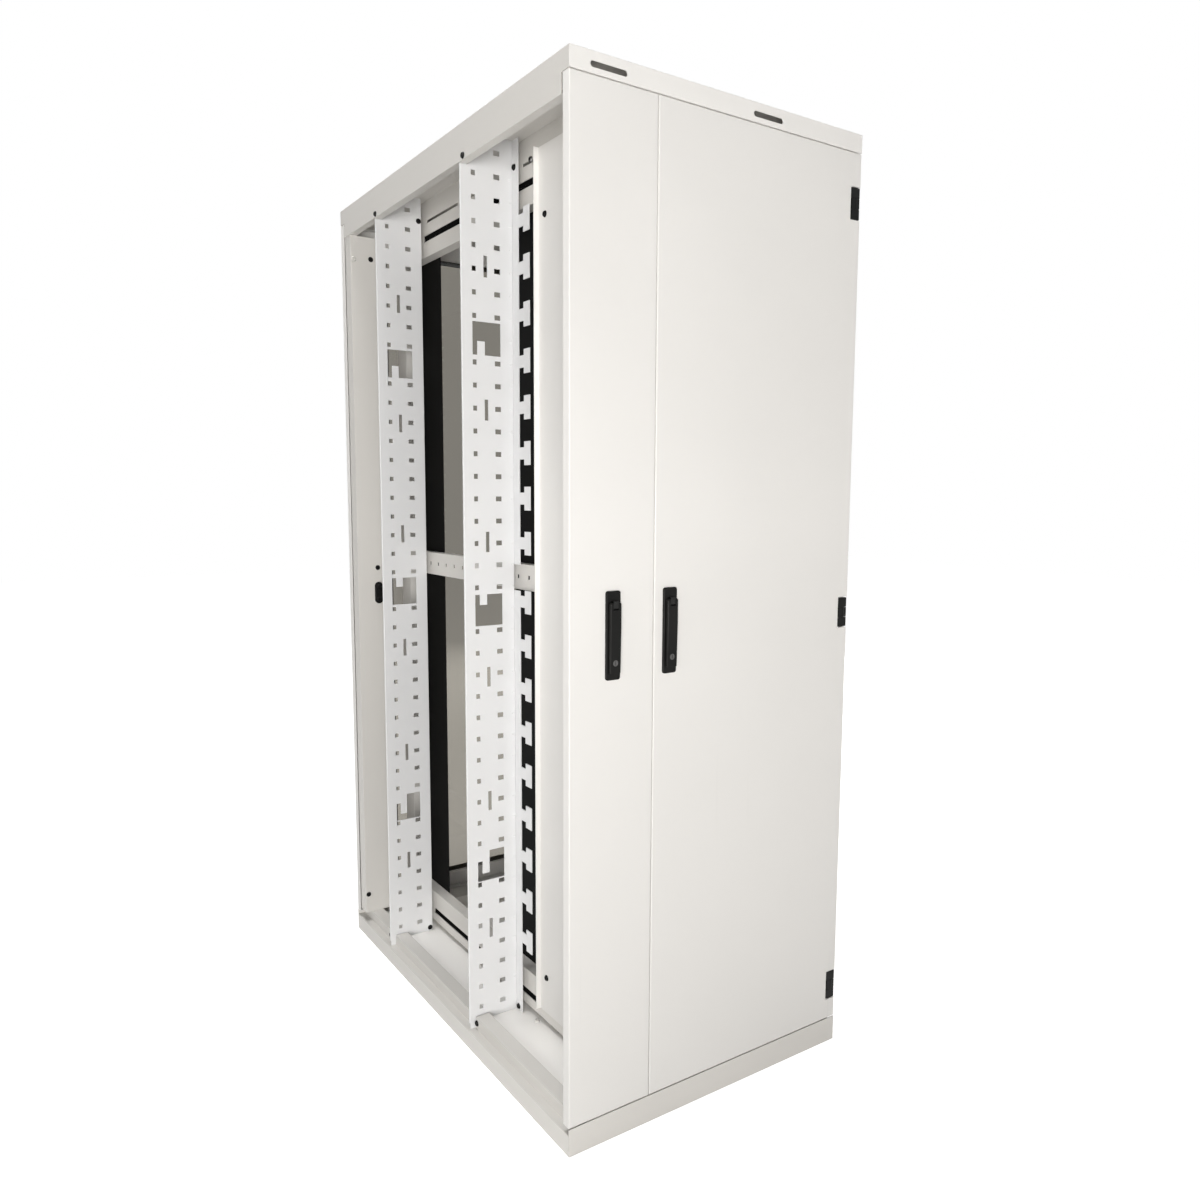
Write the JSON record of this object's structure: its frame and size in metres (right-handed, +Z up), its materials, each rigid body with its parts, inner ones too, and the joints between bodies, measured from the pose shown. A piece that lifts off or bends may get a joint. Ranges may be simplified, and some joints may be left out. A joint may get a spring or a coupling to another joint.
{
  "type": "vertical cable manager cabinet",
  "caption": "Tall white floor-standing equipment cabinet with an open side bay that holds a vertical cable manager: windowed cable plates and finger combs, behind split front doors.",
  "frame": {"origin": "middle of the cabinet's base, on the floor", "axes": "+X to the right seen from the split doors, +Y towards the glass door, +Z up"},
  "size_m": [0.75, 1.228, 2.08],
  "materials": {
    "frame_white": "fine textured powder coat, warm white",
    "panel_white": "fine textured powder coat, warm white",
    "plate_white": "smooth satin powder coat, white",
    "rail_black": "satin black paint",
    "hinge_black": "matt black coating",
    "handle_black": "matt black moulded plastic",
    "spindle_black": "blackened steel",
    "pin_steel": "bright zinc-plated steel",
    "tinted_glass": "grey tinted safety glass"
  },
  "bodies": {
    "frame": {"base_front_beam": "frame_white", "base_far_beam": "frame_white", "base_left_rail": "frame_white", "base_right_rail": "frame_white", "base_floor": "frame_white", "top_front_beam": "frame_white", "top_far_beam": "frame_white", "top_left_rail": "frame_white", "top_right_rail": "frame_white", "roof_panel": "frame_white", "bay_front_post": "frame_white", "bay_far_post": "frame_white", "front_right_post": "frame_white", "far_right_post": "frame_white", "far_left_post": "frame_white", "bay_top_rail": "frame_white", "bay_low_rail": "frame_white", "right_top_rail": "frame_white", "right_low_rail": "frame_white", "bay_middle_brace": "frame_white", "right_middle_brace": "frame_white", "partition_panel": "panel_white", "front_cable_plate": "plate_white", "far_cable_plate": "plate_white", "upper_finger_comb": "plate_white", "lower_finger_comb": "plate_white", "front_left_rack_rail": "rail_black", "front_right_rack_rail": "rail_black", "far_left_rack_rail": "rail_black", "far_right_rack_rail": "rail_black", "wide_door_hinge_frame_blocks": "hinge_black", "wide_door_hinge_pins": "pin_steel", "glass_door_hinge_frame_blocks": "hinge_black", "glass_door_hinge_pins": "pin_steel", "narrow_door_pivots": "pin_steel"},
    "side_panel": {"right_side_panel": "panel_white"},
    "narrow_door_leaf": {"narrow_door": "panel_white", "narrow_door_handle_base": "handle_black"},
    "narrow_door_spindle": {"narrow_door_spindle": "spindle_black", "narrow_door_lever_pin": "spindle_black"},
    "narrow_door_lever": {"narrow_door_lever": "handle_black"},
    "narrow_door_key": {"narrow_door_key_plug": "pin_steel"},
    "wide_door_leaf": {"wide_door": "panel_white", "wide_door_handle_base": "handle_black", "wide_door_hinge_leaf_blocks": "hinge_black"},
    "wide_door_spindle": {"wide_door_spindle": "spindle_black", "wide_door_lever_pin": "spindle_black"},
    "wide_door_lever": {"wide_door_lever": "handle_black"},
    "wide_door_key": {"wide_door_key_plug": "pin_steel"},
    "glass_door_leaf": {"glass_door_frame": "panel_white", "glass_door_handle_base": "handle_black", "glass_pane": "tinted_glass", "glass_door_hinge_leaf_blocks": "hinge_black"},
    "glass_door_spindle": {"glass_door_spindle": "spindle_black", "glass_door_lever_pin": "spindle_black"},
    "glass_door_lever": {"glass_door_lever": "handle_black"},
    "glass_door_key": {"glass_door_key_plug": "pin_steel"}
  },
  "joints": [
    {"name": "side_panel_off", "type": "slide", "parent": "frame", "child": "side_panel", "axis": [1, 0, 0], "range_m": [0, 0.3]},
    {"name": "narrow_door_swing", "type": "hinge", "parent": "frame", "child": "narrow_door_leaf", "pos_m": [-0.363, -0.59, 1.05], "axis": [0, 0, -1], "range_deg": [0, 110]},
    {"name": "narrow_door_handle_turn", "type": "hinge", "parent": "narrow_door_leaf", "child": "narrow_door_spindle", "pos_m": [-0.278, -0.6, 1.095], "axis": [0, 1, 0], "range_deg": [0, 90]},
    {"name": "narrow_door_lever_lift", "type": "hinge", "parent": "narrow_door_spindle", "child": "narrow_door_lever", "pos_m": [-0.278, -0.61, 1.095], "axis": [-1, 0, 0], "range_deg": [0, 40]},
    {"name": "narrow_door_key_turn", "type": "hinge", "parent": "narrow_door_lever", "child": "narrow_door_key", "pos_m": [-0.278, -0.609, 0.983], "axis": [0, -1, 0], "range_deg": [0, 90]},
    {"name": "wide_door_swing", "type": "hinge", "parent": "frame", "child": "wide_door_leaf", "pos_m": [0.363, -0.592, 1.05], "axis": [0, 0, 1], "range_deg": [0, 120]},
    {"name": "wide_door_handle_turn", "type": "hinge", "parent": "wide_door_leaf", "child": "wide_door_spindle", "pos_m": [-0.141, -0.6, 1.095], "axis": [0, -1, 0], "range_deg": [0, 90]},
    {"name": "wide_door_lever_lift", "type": "hinge", "parent": "wide_door_spindle", "child": "wide_door_lever", "pos_m": [-0.141, -0.61, 1.095], "axis": [-1, 0, 0], "range_deg": [0, 40]},
    {"name": "wide_door_key_turn", "type": "hinge", "parent": "wide_door_lever", "child": "wide_door_key", "pos_m": [-0.141, -0.609, 0.983], "axis": [0, -1, 0], "range_deg": [0, 90]},
    {"name": "glass_door_swing", "type": "hinge", "parent": "frame", "child": "glass_door_leaf", "pos_m": [0.363, 0.592, 1.05], "axis": [0, 0, -1], "range_deg": [0, 120]},
    {"name": "glass_door_handle_turn", "type": "hinge", "parent": "glass_door_leaf", "child": "glass_door_spindle", "pos_m": [-0.296, 0.6, 1.095], "axis": [0, 1, 0], "range_deg": [0, 90]},
    {"name": "glass_door_lever_lift", "type": "hinge", "parent": "glass_door_spindle", "child": "glass_door_lever", "pos_m": [-0.296, 0.61, 1.095], "axis": [1, 0, 0], "range_deg": [0, 40]},
    {"name": "glass_door_key_turn", "type": "hinge", "parent": "glass_door_lever", "child": "glass_door_key", "pos_m": [-0.296, 0.609, 0.983], "axis": [0, 1, 0], "range_deg": [0, 90]}
  ]
}
